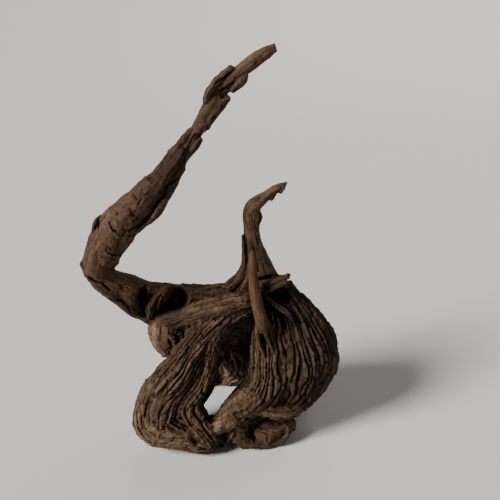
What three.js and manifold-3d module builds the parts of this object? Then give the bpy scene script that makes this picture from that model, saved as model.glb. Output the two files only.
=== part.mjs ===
// Bogwood: a weathered root stump that stands on its feet, with a long crooked branch and a short horn.
// Millimetres, +Z up, +Y away from the front. Z 0 is the surface that the wood stands on.
// The wood is parted into nodes at its main forks. Every limb is a furrowed tube along its own spine.
import * as THREE from "three";
import { mergeVertices } from "three/addons/utils/BufferGeometryUtils.js";
import Module from "manifold-3d";

const wasm = await Module();
wasm.setup();

// Driving dimensions
const FORK_GAP = 0.3; // clearance between two pieces that meet at a fork
const FLOOR_ROOM = 400; // side of the box that trims the feet flat at Z 0
const ORIGIN = { x: 14, y: -2.2 }; // moves the middle of the wood's own box to X 0, Y 0
const TIP_BULGE = 0.55; // how far a rounded end stands out, as a share of its half width
const TIP_WAIST = 0.62; // width of the last ring before the tip, as a share of the end's width

// A limb is [strands round it, depth of its furrows, steps along it, path].
// Every row of a path is [x, y, z, half width across the front view, half depth along Y].
const CROWN = [14, 1.0, 9, [
  [-43, 2, 54, 5, 6],
  [-30, 4, 51, 9, 9],
  [-17, 6, 48.5, 12, 10],
  [-4, 7, 49, 13, 11],
  [7, 7, 52, 11, 11],
  [16, 6, 55, 6.5, 8],
]];
const STUMP_KNOB = [7, 0.8, 4, [
  [-24, 1, 46, 6, 6],
  [-31, -1, 43.5, 7.4, 6],
  [-37, -3, 41.6, 6.4, 5.5],
  [-41, -4, 41, 3.8, 4],
]];

const LEFT_LEG = [17, 1.1, 16, [
  [8, -1, 58, 3.5, 5],
  [-2, -3, 56.5, 5.5, 6],
  [-11.5, -5, 51.5, 7, 7],
  [-18.5, -8, 44, 8.2, 8],
  [-23, -11, 37, 8.5, 9.5],
  [-29, -15, 29, 10.3, 10.5],
  [-34, -17, 20.5, 12.8, 11],
  [-34.2, -18, 12.8, 13.2, 11],
  [-27, -20, 8.4, 10.2, 9.5],
  [-18, -22, 5, 7, 7.5],
  [-12.5, -22, 4.5, 4.4, 5],
]];
const LEG_INSIDE = [8, 0.8, 5, [
  [-17, -2, 40, 5, 7],
  [-20, -5, 29, 6, 8],
  [-23, -8, 18, 6.5, 8],
  [-24, -11, 8, 6.5, 8],
]];

const RIGHT_LOBE = [22, 1.2, 14, [
  [9, 5, 61.5, 4.5, 6],
  [13.5, 2, 56, 8.8, 9],
  [17, 0, 47.3, 13.8, 12],
  [18.8, -2, 37, 18.6, 14.5],
  [17.3, -4, 27.5, 18.6, 15],
  [12.3, -7, 19, 15, 13.5],
  [4, -12, 14, 11, 11],
  [-4.5, -16.5, 11, 8, 8.5],
  [-11, -19, 9, 4.8, 5.5],
]];
const CURLED_ROOT = [8, 0.7, 6, [
  [-10, -20, 2.5, 2.4, 3],
  [-2, -20.5, 3.8, 4.4, 5],
  [7, -18, 5.2, 6.2, 7.2],
  [16, -12, 6, 5.5, 6.5],
]];
const LOBE_HEEL = [8, 0.7, 4, [
  [16, 0, 22, 8, 8],
  [20, 7, 12, 8, 7],
  [21, 12, 3, 7, 6],
  [21, 13, -3, 6, 5],
]];

const REAR_LEG = [12, 1.0, 7, [
  [-8, 8, 46, 10, 7],
  [-8.5, 13, 34, 13, 7.5],
  [-8, 18, 22, 14, 7.5],
  [-6.5, 24, 10, 13, 7.5],
  [-5.5, 27, 2, 12, 7],
  [-5, 28, -4, 11, 6],
]];

const LONG_BRANCH = [9, 0.8, 32, [
  [-21, 4, 52.8, 6, 6],
  [-33, 1, 55, 8.4, 7],
  [-43, -2, 58.3, 7.8, 7],
  [-50.5, -5, 63.2, 6.8, 6.8],
  [-57, -7, 68, 6.2, 6.5],
  [-60, -8, 74, 5.6, 6],
  [-56.4, -8.5, 82, 7.2, 6.2],
  [-51.2, -8, 88.7, 7.9, 6.4],
  [-45.5, -8, 94.9, 7.4, 6.2],
  [-39.6, -7, 100.4, 6.6, 6],
  [-34, -6, 106.4, 5.9, 5.4],
  [-29, -5, 112.6, 5, 4.8],
  [-25, -4, 118.4, 4.2, 4.3],
  [-21.8, -2, 124, 3.5, 3.9],
  [-19, 0, 129, 3.1, 3.5],
  [-16, 1, 133.8, 3.4, 3.5],
  [-13.2, 2, 138.2, 4.3, 3.7],
  [-10.1, 3, 141.8, 4.8, 3.7],
  [-6.6, 3, 145, 4.2, 3.5],
  [-2.6, 3, 147.8, 3, 3],
  [1.6, 2, 150.8, 2.4, 2.5],
  [5.4, 1, 153.4, 2.1, 2.1],
  [9, 0, 155.3, 1.8, 1.8],
]];
const BARK_STRIP = [4, 0.3, 6, [
  [-62.5, -9, 69.2, 1.2, 1.6],
  [-57.5, -8, 66, 1.8, 2.4],
  [-51, -6, 60.4, 2.2, 3],
  [-44, -4, 55, 2.4, 3.6],
  [-36, -2, 50, 3, 4],
]];
const ELBOW_CORNER = [5, 0.4, 3, [
  [-58, -8, 76, 3.5, 4],
  [-62, -8, 73, 3, 3.6],
  [-64, -8, 71.5, 1.6, 2.2],
]];
const BRANCH_CHIPS = [
  [4, 0.2, 3, [
    [-16.4, 0, 132, 1.8, 2.2],
    [-14.8, 0, 128.6, 1.3, 2],
    [-14.8, 0, 126.6, 0.6, 1],
  ]],
  [4, 0.2, 3, [
    [-8.6, 1, 140, 1.8, 2.2],
    [-7.4, 1, 138, 1.3, 1.8],
    [-7.2, 1, 136.6, 0.6, 0.9],
  ]],
];

const HORN = [8, 0.6, 13, [
  [6, 8, 54, 10.5, 7],
  [4.3, 8, 62, 8.4, 6],
  [3, 8, 68, 6, 5.2],
  [1.8, 7, 75, 4.4, 4.4],
  [0.8, 6, 84, 3.4, 3.6],
  [0, 5, 92, 3.1, 3.2],
  [1.8, 4, 96.8, 3.2, 3],
  [6, 3, 100.4, 2.5, 2.4],
  [10.5, 2, 103.6, 1.7, 1.7],
  [14.6, 1, 106, 0.8, 0.8],
]];
const HORN_SLIVER = [4, 0.2, 3, [
  [-1.6, 5, 67, 2.2, 2.4],
  [-2.6, 5, 75, 1.3, 1.8],
  [-3, 5, 82, 0.7, 1.2],
]];
const HORN_BUMP = [5, 0.2, 2, [
  [2.4, 4, 93.5, 1.6, 2],
  [4.2, 4, 92, 1.4, 1.6],
]];
const HORN_ROOT = [6, 0.4, 3, [
  [0, 7, 66, 4, 4],
  [-4, 6, 60.5, 3.5, 4],
  [-9, 6, 58, 3, 4],
]];

const FRONT_ROOT = [6, 0.35, 10, [
  [0.6, 2, 86, 1.2, 1.4],
  [0.8, -2, 79, 1.8, 1.8],
  [1.6, -7, 72, 2.1, 2],
  [2.7, -11, 65.3, 2.3, 2.2],
  [4.3, -13.5, 59, 2.6, 2.4],
  [6.2, -14, 52, 3, 2.6],
  [8, -13, 45, 3, 2.6],
]];

const BROKEN_TWIG = [5, 0.6, 4, [
  [2, 2, 59, 2, 2],
  [7, -1, 62, 2, 2],
  [12, -3, 65, 1.9, 2],
  [16.2, -5, 67.6, 1.6, 1.7],
]];

// Hollows are ellipsoids: centre and half sizes.
const HOLLOWS = [
  { at: [-31, -7, 56], half: [6.5, 7.5, 5] }, // the deep eye beside the branch
  { at: [11.5, -5, 59.5], half: [4.6, 6, 3.4] }, // under the broken twig
  { at: [9.5, -9, 53], half: [3, 5, 5] }, // beside the front root
];

// The nodes, in the order in which each later one is cut back from the ones before it.
const PIECES = {
  crown: { limbs: [CROWN, STUMP_KNOB], colour: 0x4a382c },
  right_lobe: { limbs: [RIGHT_LOBE, CURLED_ROOT, LOBE_HEEL], colour: 0x46362b },
  left_leg: { limbs: [LEFT_LEG, LEG_INSIDE], colour: 0x4d3a2c },
  rear_leg: { limbs: [REAR_LEG], colour: 0x3f3027 },
  long_branch: { limbs: [LONG_BRANCH, BARK_STRIP, ELBOW_CORNER, ...BRANCH_CHIPS], colour: 0x5b4232 },
  horn: { limbs: [HORN, HORN_SLIVER, HORN_BUMP, HORN_ROOT], colour: 0x5d4331 },
  front_root: { limbs: [FRONT_ROOT], colour: 0x6b4d37 },
  broken_twig: { limbs: [BROKEN_TWIG], colour: 0x4f3b30 },
};

// A repeatable number from 0 to 1 for strand i at step k.
function chance(i, k) {
  const s = Math.sin(i * 127.1 + k * 311.7) * 43758.5453;
  return s - Math.floor(s);
}

// The closed skin over rings of points along a spine, with one point at each end.
function skinOf(rings, startPoint, endPoint) {
  const size = rings[0].length;
  const points = [startPoint, ...rings.flat(), endPoint];
  const last = points.length - 1;
  const at = (k, j) => 1 + k * size + (j % size);
  const faces = [];
  for (let j = 0; j < size; j++) {
    faces.push(0, at(0, j + 1), at(0, j));
    faces.push(last, at(rings.length - 1, j), at(rings.length - 1, j + 1));
    for (let k = 0; k + 1 < rings.length; k++) {
      faces.push(at(k, j), at(k, j + 1), at(k + 1, j + 1));
      faces.push(at(k, j), at(k + 1, j + 1), at(k + 1, j));
    }
  }
  return solidOf(points.flatMap((p) => p.toArray()), faces);
}

function solidOf(coordinates, faces) {
  const vertProperties = new Float32Array(coordinates);
  const triVerts = new Uint32Array(faces);
  return new wasm.Manifold(new wasm.Mesh({ numProp: 3, vertProperties, triVerts }));
}

// One limb: rings of strand tops and furrows along its spine. A cutter is the plain limb, grown by the gap.
function limb([strands, furrow, steps, path], cutter = false) {
  const spine = new THREE.CatmullRomCurve3(path.map(([x, y, z]) => new THREE.Vector3(x, y, z)));
  const girth = new THREE.CatmullRomCurve3(path.map(([, , , wide, deep]) => new THREE.Vector3(wide, deep, 0)));
  const depthAxis = new THREE.Vector3(0, 1, 0);
  const perStrand = cutter ? 1 : 2;
  const grow = cutter ? FORK_GAP : 0;
  const clear = cutter ? 1 / Math.cos(Math.PI / strands) : 1; // so that the flats pass outside the strands

  function ring(t, k, scale = 1, slide = 0) {
    const along = spine.getTangent(t);
    const deep = depthAxis.clone().addScaledVector(along, -along.y).normalize();
    const across = new THREE.Vector3().crossVectors(deep, along);
    const { x: wide, y: thick } = girth.getPoint(t);
    const centre = spine.getPoint(t).addScaledVector(along, slide * wide);
    return Array.from({ length: strands * perStrand }, (_, j) => {
      const strand = Math.floor(j / perStrand);
      const dip = j % perStrand ? furrow * (0.55 + 0.45 * chance(strand, Math.floor(k / 3))) : 0;
      const wander = cutter ? 0 : 0.25 * (chance(strand, 7) - 0.5);
      const turn = ((j / perStrand + wander) * 2 * Math.PI) / strands;
      return centre
        .clone()
        .addScaledVector(across, Math.cos(turn) * scale * clear * (wide - dip + grow))
        .addScaledVector(deep, Math.sin(turn) * scale * clear * (thick - dip + grow));
    });
  }

  function tip(t, way) {
    const reach = girth.getPoint(t).x * TIP_BULGE + grow;
    return spine.getPoint(t).addScaledVector(spine.getTangent(t), way * reach);
  }

  const body = Array.from({ length: steps + 1 }, (_, k) => ring(k / steps, k));
  body.unshift(ring(0, 0, TIP_WAIST, -0.7 * TIP_BULGE));
  body.push(ring(1, steps, TIP_WAIST, 0.7 * TIP_BULGE));
  return skinOf(body, tip(0, -1), tip(1, 1));
}

function fromGeometry(geometry) {
  geometry.deleteAttribute("normal");
  geometry.deleteAttribute("uv");
  const merged = mergeVertices(geometry);
  return solidOf(merged.attributes.position.array, merged.index.array);
}

function hollow({ at, half }) {
  return fromGeometry(new THREE.SphereGeometry(1, 12, 8).scale(...half).translate(...at));
}

function joined(solids) {
  return solids.reduce((all, one) => all.add(one));
}

function largestBody(solid) {
  return solid.decompose().reduce((best, body) => (body.volume() > best.volume() ? body : best));
}

function toGeometry(solid) {
  const { vertProperties, triVerts } = solid.getMesh();
  return new THREE.BufferGeometry()
    .setAttribute("position", new THREE.BufferAttribute(vertProperties, 3))
    .setIndex(new THREE.BufferAttribute(triVerts, 1));
}

const aboveFloor = fromGeometry(
  new THREE.BoxGeometry(FLOOR_ROOM, FLOOR_ROOM, FLOOR_ROOM).translate(0, 0, FLOOR_ROOM / 2),
);
const allHollows = joined(HOLLOWS.map(hollow));

const bogwood = new THREE.Group();
bogwood.name = "bogwood";
bogwood.position.set(ORIGIN.x, ORIGIN.y, 0);

let neighbours = null;
for (const [name, { limbs, colour }] of Object.entries(PIECES)) {
  let solid = joined(limbs.map((one) => limb(one))).subtract(allHollows);
  if (neighbours) solid = solid.subtract(neighbours);
  const mesh = new THREE.Mesh(
    toGeometry(largestBody(solid.intersect(aboveFloor))),
    new THREE.MeshStandardMaterial({ color: colour, roughness: 0.85, metalness: 0 }),
  );
  mesh.name = name;
  bogwood.add(mesh);
  const cutters = joined(limbs.map((one) => limb(one, true)));
  neighbours = neighbours ? neighbours.add(cutters) : cutters;
}

export default bogwood;
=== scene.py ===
import math
from concurrent.futures import ThreadPoolExecutor

import bpy
import numpy as np
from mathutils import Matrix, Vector


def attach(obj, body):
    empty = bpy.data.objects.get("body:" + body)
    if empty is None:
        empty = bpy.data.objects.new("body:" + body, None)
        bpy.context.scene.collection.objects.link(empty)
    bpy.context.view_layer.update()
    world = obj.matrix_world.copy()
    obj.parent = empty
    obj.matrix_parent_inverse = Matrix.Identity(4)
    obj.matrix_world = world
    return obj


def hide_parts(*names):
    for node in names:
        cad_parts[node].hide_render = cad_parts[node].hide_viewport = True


# Bogwood. The wood is described by limbs, which are paths with a girth, in millimetres. Each limb has strands
# and furrows of its own that follow its path. All limbs are melted into one skin, which is then parted into
# one closed piece for each node of the frame.
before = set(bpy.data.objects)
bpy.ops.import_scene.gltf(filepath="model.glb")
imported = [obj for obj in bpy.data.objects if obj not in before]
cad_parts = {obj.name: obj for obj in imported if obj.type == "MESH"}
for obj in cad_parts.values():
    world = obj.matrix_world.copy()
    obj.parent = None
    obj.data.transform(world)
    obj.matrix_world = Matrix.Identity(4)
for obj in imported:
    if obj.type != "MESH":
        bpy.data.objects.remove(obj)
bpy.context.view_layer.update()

# Driving sizes, in millimetres where they are lengths
MM = 0.001
ORIGIN = np.array([14.0, -2.2, 0.0], np.float32)  # from the limbs' own axes to the frame's
VOXEL = 0.44  # grid that the skin is found on
COARSE = 4  # voxels in a step of the coarse grid
SPINE_STEP = 1.1  # distance between the points of a limb's spine
MARGIN = 2.4  # how far beside the plain limbs the strands are worked out
SPARE = 1.5  # room round a limb beyond that
FAR = 9.0  # distance that stands for far away
NEAR_REACH = 2.5  # how far in front of the skin the space is tested for narrow gaps
FAR_REACH = 8.0  # and for wide ones
CHUNK = 60000  # points worked out at a time
THREADS = 4
SEED = 11

# Sizes that the strands of all looks share
FURROW_RUN = 7  # length along which a furrow strays, opens and shuts
WIDEST_STRAND = 3.2  # beyond this width a strand stands no higher
FINE_SHARE = 2.7  # fine furrows to a strand
FINE_HALF = 0.26  # half width of a fine furrow
CRACK_HALF = 0.3  # half width of the cracks between plates
SHORT_CELL = (5.5, 5.0)  # width and length of the cell that each short crack has to itself

# How a limb's surface looks. Every look has a number for each column: strands round the limb, depth and half
# width of the furrows, how rounded the strands are, how far they wander, how uneven and how tilted they are,
# length of their plates, depth of the cracks between plates, roughness, lumps, and how dark the furrows are
# painted, which is partly dirt and partly painted shade. Some looks also have a share of places with a short
# crack, pits, short ticks across the grain, or tints. Warm and red are the wood's own colours, and so is
# pale, except on the rear and wall looks, where it is painted fill light. Dim is partly darker wood and
# partly painted shade.
COLUMNS = "strands depth width dome wander uneven tilt plate crack rough lumps dark".split()
TINTS_AND_PAINTED_LIGHT = ("warm", "pale", "red", "dim")
EXTRAS = dict.fromkeys(("short", "pits", "ticks", *TINTS_AND_PAINTED_LIGHT), 0.0)


def look(*numbers, **extras):
    return {**EXTRAS, **dict(zip(COLUMNS, numbers)), **extras}


LOOKS = {
    # The lobe is the fold's look with more strands and a stronger darkening, which is painted shade on the
    # lobe's right side.
    "lobe": look(50, 1.1, 0.6, 0.3, 0.7, 0.36, 0.45, 7, 0.48, 0.24, 0.5, 1, dim=0.9),
    "fold": look(30, 1.1, 0.6, 0.3, 0.7, 0.36, 0.45, 7, 0.48, 0.24, 0.5, 1, dim=0.4),
    "leg": look(32, 1.1, 0.6, 0.3, 0.7, 0.36, 0.45, 7, 0.5, 0.25, 0.5, 1, warm=0.1),
    "foot": look(22, 0.7, 0.45, 0.22, 1.2, 0.3, 0.35, 6, 0.3, 0.2, 0.6, 0.7, warm=0.5, pale=0.35),
    "knee": look(14, 0.9, 0.55, 0.3, 0.6, 0.36, 0.4, 6, 0.5, 0.24, 0.4, 1, warm=0.2),
    "crown": look(26, 0.5, 0.45, 0.15, 1.5, 0.22, 0.25, 11, 0.2, 0.2, 0.9, 0.8, dim=0.4),
    "band": look(30, 0.4, 0.4, 0.15, 1.2, 0.16, 0.25, 7, 0.1, 0.22, 0.5, 0.6, pits=0.1, warm=0.7, pale=0.15),
    # On the rear and wall looks, pale is painted fill light on back wood that the lamps leave in shade.
    "rear": look(32, 0.4, 0.5, 0.1, 1.2, 0.2, 0.2, 11, 0.3, 0.16, 1, 0.7, pale=0.6, red=0.6),
    "wall": look(26, 0.8, 0.5, 0.25, 1.4, 0.25, 0.35, 7, 0.3, 0.2, 1, 0.7, pale=0.8, red=0.6),
    "bark": look(14, 0.2, 0.35, 0.04, 1.2, 0.16, 0.12, 8, 0.15, 0.19, 0.6, 0.7, short=0.2,
                 warm=0.85, dim=0.1),
    "under": look(14, 0.3, 0.4, 0.06, 1.2, 0.18, 0.16, 8, 0.12, 0.16, 0.6, 0.7, warm=0.5, dim=0.45),
    "upper": look(12, 0.28, 0.4, 0.05, 1.2, 0.18, 0.14, 8, 0.15, 0.22, 0.6, 0.9, short=0.15,
                  warm=0.1, dim=1.3),
    "sleeve": look(8, 0.28, 0.35, 0.08, 1.1, 0.14, 0.2, 11, 0.3, 0.14, 0.4, 0.8, warm=0.3, dim=0.45),
    "slab": look(14, 0.28, 0.4, 0.06, 1.2, 0.16, 0.16, 6, 0.12, 0.2, 0.6, 0.5, warm=0.7, pale=0.4),
    "horn": look(12, 0.24, 0.38, 0.08, 1.2, 0.12, 0.15, 11, 0.1, 0.1, 0.4, 0.6, warm=1, pale=0.15),
    "rod": look(8, 0.16, 0.28, 0.05, 0.7, 0.08, 0.18, 11, 0.15, 0.08, 0.25, 0.6, warm=1, dim=0.15),
    "finger": look(9, 0.16, 0.28, 0.05, 0.7, 0.1, 0.15, 11, 0.12, 0.08, 0.3, 0.6, warm=1, pale=0.1),
    "twig": look(6, 0.2, 0.3, 0.05, 0.9, 0.12, 0.2, 9, 0.3, 0.08, 0.3, 1, dim=0.35),
    "swirl": look(10, 0.4, 0.4, 0.15, 1.6, 0.2, 0.3, 5, 0.1, 0.26, 0.6, 0.7, red=0.6, dim=0.4),
    "stub": look(22, 0.4, 0.4, 0.15, 1.2, 0.16, 0.2, 11, 0.1, 0.28, 0.7, 0.5, pits=0.3, ticks=0.35,
                 warm=0.7, pale=0.15, dim=0.2),
    "tip": look(10, 0.4, 0.4, 0.15, 1.2, 0.3, 0.25, 11, 0.1, 0.3, 0.7, 0.4, pits=0.3, ticks=0.2, pale=0.8),
    "broken": look(10, 0.3, 0.4, 0.15, 1.8, 0.2, 0.25, 6, 0.15, 0.3, 1.1, 0.6, pits=0.3, warm=0.6, dim=0.35),
}

# The wood, in the order in which it is melted together and cut. A name by itself says what comes after it:
# limbs of that node, cuts or hollows. A limb is (look, how softly it melts into what is there, how blunt its
# ends are, rows of its path), and a row is [x, y, z, half width across the front view, half depth]. A cut
# takes wood away along such a path: (softness, rows). A hollow is (softness, centre, half sizes).
WOOD = [
    # crown, the leg behind the arch, and the broken knob at the crown's left
    "crown",
    ("crown", 2.5, 0.5, [-43, 2, 54.4, 5.2, 6], [-30, 4, 51.6, 9.3, 9], [-17, 6, 48.8, 11.5, 10],
     [-4, 7, 49, 12.2, 11], [7, 7, 52, 11, 11], [16, 6, 55, 6.5, 8]),
    "rear_leg",
    ("wall", 3.0, 0.5, [-8, 8, 46, 10, 7], [-8.5, 13, 34, 11.4, 7.5], [-7.6, 18, 22, 10.6, 7.2],
     [-6.6, 24, 10, 9, 5.8], [-8, 27.6, 2, 8.2, 4.6], [-8.6, 28.2, -4, 7.6, 4.4]),
    ("rear", 1.6, 0.4, [-15, 9, 44, 3.6, 4.6], [-17.2, 13.6, 34, 4.4, 5], [-17.4, 17.6, 23, 4.8, 5],
     [-19.2, 22.6, 11, 4.6, 4.4], [-21, 26, 2, 4.2, 3.8], [-21.8, 26.8, -4, 3.6, 3.6]),
    ("rear", 1.6, 0.4, [1, 9, 43, 3.6, 4.6], [3.2, 14, 33, 4.4, 5], [2.6, 19, 22, 4.2, 4.8],
     [5.8, 22.8, 10, 4, 4.2], [10.4, 25, 1.5, 3.6, 3.8], [12, 25.6, -4, 3.2, 3.6]),
    ("broken", 1.5, 0.6, [-6.6, 22, 28, 3.6, 3.6], [-7, 25.8, 26.6, 2.6, 2.4]),
    ("rear", 2.2, 0.4, [-19.1, 6, 23, 1.8, 4], [-17.8, 7, 28.3, 2.4, 5], [-14.2, 8, 31.5, 3.1, 5],
     [-9.3, 9, 32.2, 3.3, 5], [-5, 10, 29.4, 2.9, 5], [-1.8, 11, 23.6, 2.2, 4]),
    "crown",
    ("crown", 1.2, 0.35, [-24, 1, 46, 6, 6], [-30, -3.5, 43.4, 6, 5.6], [-33.6, -5.6, 43, 5, 5]),
    ("slab", 1.0, 0.35, [-36.6, -4.2, 49.4, 5.4, 4.6], [-36.2, -6.4, 45, 5.9, 5], [-35, -7.6, 41, 4.9, 4.8],
     [-33.6, -8.2, 38, 3.4, 4]),
    ("slab", 0.4, 0.3, [-33.6, -10.4, 46.4, 0.8, 1.8], [-31, -11, 44.4, 1, 2], [-30.2, -11.2, 41.6, 1, 2],
     [-31.2, -11, 38.8, 0.8, 1.6]),
    ("slab", 0.5, 0.3, [-37.6, -8.6, 45.2, 1.4, 2.2], [-40, -9, 45.8, 0.9, 1.4], [-42, -9.2, 46, 0.4, 0.6]),
    # left leg: its hidden back, its inner edge, the body, the foot, and the strands that turn at the knee
    "left_leg",
    ("rear", 2.0, 0.5, [-19, -2, 40, 5, 7], [-22.5, -5, 29, 5.4, 8], [-26, -8, 18, 5, 8], [-28, -12, 8, 5, 8],
     [-28.5, -14, 3, 5, 7]),
    ("rear", 1.5, 0.4, [-11.9, -3, 30.9, 1.1, 2], [-14.7, -4, 27.6, 1.8, 3.4], [-16.6, -5.5, 23.4, 2.4, 4.4],
     [-17.3, -8, 20, 2, 4.2], [-19.4, -9.6, 16.5, 1.6, 3.2], [-21, -11, 13, 1, 2.2]),
    ("leg", 1.4, 0.45, [8, -1, 58, 3, 4.5], [-2, -3, 56.5, 5, 5.5], [-11.5, -5, 51.5, 6.4, 6.4],
     [-18.5, -8, 44, 7.4, 7.4], [-23, -11, 37, 7.8, 8.8], [-28.2, -15, 29, 8.8, 9.4],
     [-32.8, -17, 20.5, 11, 9.8], [-33, -18, 13, 11.4, 9.8], [-27, -20, 9, 9, 8.6], [-18, -22, 5.6, 6.4, 7],
     [-12.5, -22, 4.8, 4, 4.6]),
    ("leg", 0.8, 0.3, [4, -6, 58.5, 3, 3.6], [-5.6, -7.5, 55, 4.4, 4.6], [-11.7, -9, 51, 5.4, 5.6],
     [-17.7, -11, 45, 6.5, 6.4], [-22.6, -13, 39, 7.5, 7.6], [-26.4, -15.5, 33, 7.9, 8.6],
     [-30.8, -17.2, 27.4, 8.8, 9], [-33.6, -17.6, 22.6, 8.8, 7.6], [-34.4, -18, 17.6, 8, 5]),
    ("foot", 1.4, 0.4, [-41, -14, 26, 2, 4], [-42.4, -15, 22, 2.8, 5], [-43.2, -17, 17, 4.2, 6],
     [-41.6, -19.5, 11.8, 5.6, 7.5], [-37.4, -21, 9.2, 6.6, 8], [-32, -22, 8.2, 6.2, 7.8],
     [-26.5, -23, 7.5, 5.4, 7], [-21.5, -24, 6.6, 4.5, 5.6]),
    ("knee", 0.5, 0.4, [-12.3, -12, 49, 1.8, 3], [-14.6, -14, 42.5, 2.8, 4], [-16.6, -16, 35.7, 3.4, 4.6],
     [-19.6, -18.5, 29, 3.9, 5], [-23.3, -20.5, 23.4, 4.4, 5], [-23.9, -21.5, 19.5, 4.7, 5],
     [-21.3, -23, 15.2, 4.8, 5], [-18.3, -24, 10.2, 4.4, 4.8], [-15.6, -24.5, 4.8, 3.6, 4]),
    # right lobe: heel, body, fold, the root that curls under it, the broken stub, and the lip above
    "right_lobe",
    ("rear", 2.0, 0.5, [15, 1, 23, 6, 7], [18.6, 7.6, 13, 6.2, 6.4], [22.4, 12.4, 4, 5.6, 5.4],
     [24.4, 14.4, -3, 5, 5]),
    ("rear", 1.6, 0.4, [18, 1, 25, 6, 7], [16, 9, 13, 4.8, 5.4], [12.8, 14, 3, 4.2, 4.4],
     [12, 15, -3, 3.8, 4]),
    ("broken", 0.8, 0.4, [-10, -19, 2.5, 2.4, 3], [-2, -19.5, 3.8, 4, 4.4], [7, -17, 5.6, 5.6, 6.2],
     [14, -12.4, 6.4, 5, 6]),
    ("lobe", 0.8, 0.4, [10, 5, 61.5, 5, 6], [13.4, 2, 56, 8.3, 9], [16.6, 0, 47.3, 13.1, 12],
     [18.8, -2, 37.5, 17.6, 14.5], [18.4, -4, 28.5, 17.6, 14.5], [15.6, -6, 20.5, 14.7, 13],
     [10.8, -8.8, 14.2, 10.4, 10]),
    ("fold", 3.0, 0.4, [8, -5.5, 52.5, 5.5, 7], [8.7, -6, 47.5, 7.4, 8.6], [9.3, -6.8, 41, 8.8, 9.4],
     [9.5, -8, 34, 9.4, 10], [8.6, -9.8, 27.5, 9.4, 10.2], [4.8, -12.5, 20.8, 8.6, 9.4],
     [-2, -15.2, 15.5, 7.4, 8], [-8, -18, 11.5, 5, 5.6]),
    ("broken", 1.3, 0.4, [13.3, -16, 9.7, 1.2, 2.4], [15.1, -17, 7.2, 1.5, 2.8], [14.5, -18.5, 4.2, 1.7, 3],
     [11.2, -19.6, 2.3, 1.7, 3], [6.6, -20.6, 1.8, 1.8, 3], [2.1, -21.6, 2.3, 1.9, 3], [-2, -22.2, 4.2, 2, 3],
     [-4.9, -22.3, 6.7, 2, 2.8]),
    ("band", 0.5, 0.4, [13.3, -16.5, 6.8, 2.1, 3], [9.5, -17.8, 6.2, 3.5, 3.6], [5.4, -18.8, 6, 3.6, 3.8],
     [2.1, -19.6, 5.8, 2.8, 3.4]),
    ("stub", 2.5, 0.3, [2, -16, 22, 4, 5.5], [-1.5, -18.2, 19.6, 5.8, 6.6], [-6.3, -20.3, 16.5, 5.8, 6],
     [-10.1, -21.8, 13.9, 4.6, 5], [-13.8, -22.8, 12, 3.2, 3.8], [-16.8, -23.4, 10.8, 2.2, 2.6]),
    ("tip", 1.0, 0.3, [-8.5, -21.8, 14.6, 4.2, 4.8], [-12.5, -22.8, 12.5, 3.6, 4.4],
     [-16.6, -23.6, 10.9, 2.3, 2.8]),
    ("stub", 1.2, 0.4, [-2.6, -19.6, 15.5, 4.2, 4.4], [-4.2, -20.4, 10.5, 4, 4], [-4, -20.8, 6, 3.8, 3.8],
     [-2.4, -20, 2.4, 3.4, 3.6]),
    ("tip", 0.5, 0.3, [-7.3, -22.5, 9.1, 2, 2.4], [-8.5, -23, 6.1, 1.4, 1.8], [-9.4, -23.5, 3.8, 0.6, 0.8]),
    ("tip", 0.5, 0.3, [-4.1, -22.5, 8.1, 1.6, 2.2], [-5.7, -23, 5.6, 1.2, 1.6],
     [-6.9, -23.5, 3.8, 0.5, 0.7]),
    ("tip", 0.4, 0.3, [-14.5, -22.5, 12, 1.2, 1.6], [-15, -22.5, 9.1, 1, 1.3], [-14.5, -22, 7, 0.4, 0.6]),
    ("band", 0.6, 0.5, [22.6, -11.5, 15.8, 1.3, 2.6], [19.9, -14, 15.2, 2.5, 4], [16.1, -16.5, 14.9, 3.3, 5],
     [11.5, -17.8, 15.4, 3.3, 5], [7.3, -18.8, 16.4, 2.8, 4.6], [2.8, -19.8, 17, 1.8, 3.4]),
    # long branch: arm below and above the elbow, its thinner end, and the bark that stands off it
    "long_branch",
    ("under", 2.0, 0.3, [-21, 4, 52.8, 6, 6], [-33, 1, 55, 8, 7], [-43, -2, 57.9, 6.9, 6.6],
     [-50.5, -5, 62.8, 5.9, 6.4]),
    ("bark", 1.5, 0.15, [-43, -2, 58.3, 6.4, 6.2], [-50.5, -5, 63.6, 6.3, 6.4], [-57.5, -7, 68.2, 5.3, 6.2],
     [-60, -8, 74, 5, 6], [-56.4, -8.5, 82, 7, 6.2], [-51.7, -8, 89, 7.6, 6.4], [-46.6, -8, 95.2, 6.7, 6.2],
     [-40.9, -7.5, 100.8, 5.8, 6], [-35.9, -6.5, 105.8, 4.6, 5]),
    ("upper", 2.0, 0.4, [-43, -7.8, 97.8, 4.8, 5], [-38.5, -7.2, 102.4, 5.2, 5.7],
     [-34.8, -6.5, 106.2, 4.9, 5.4], [-30, -5.5, 112, 4.2, 4.8], [-26.8, -4.6, 116, 3.4, 4],
     [-25.2, -4, 118.2, 2.4, 3]),
    ("bark", 2.4, 0.7, [-57, -7.5, 77.6, 5, 5.5], [-59.6, -7.8, 75.6, 4.8, 5], [-61.8, -8, 74.2, 4, 4.2]),
    ("sleeve", 0.8, 0.3, [-30, -4.5, 112, 3, 3.4], [-25.9, -3, 116.8, 2.9, 3], [-23.7, -1.5, 120.6, 2.5, 2.8],
     [-21.5, -0.5, 123.9, 2.4, 2.6], [-19.5, 0, 126.8, 2.4, 2.6], [-17.4, 0.5, 130, 2.7, 2.8],
     [-15.2, 1, 133.2, 3.3, 3], [-13.2, 1.5, 136.2, 3.9, 3.4], [-12.4, 2, 139.4, 3.4, 3.2],
     [-10, 2, 142.2, 3.2, 3], [-6.4, 1.5, 144.7, 2.9, 2.8]),
    ("finger", 0.8, 0.35, [-10.3, 1.5, 141.6, 1.6, 2], [-7, 1, 144.3, 2, 2.3], [-3.4, 0.5, 147.2, 2.4, 2.3],
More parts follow.
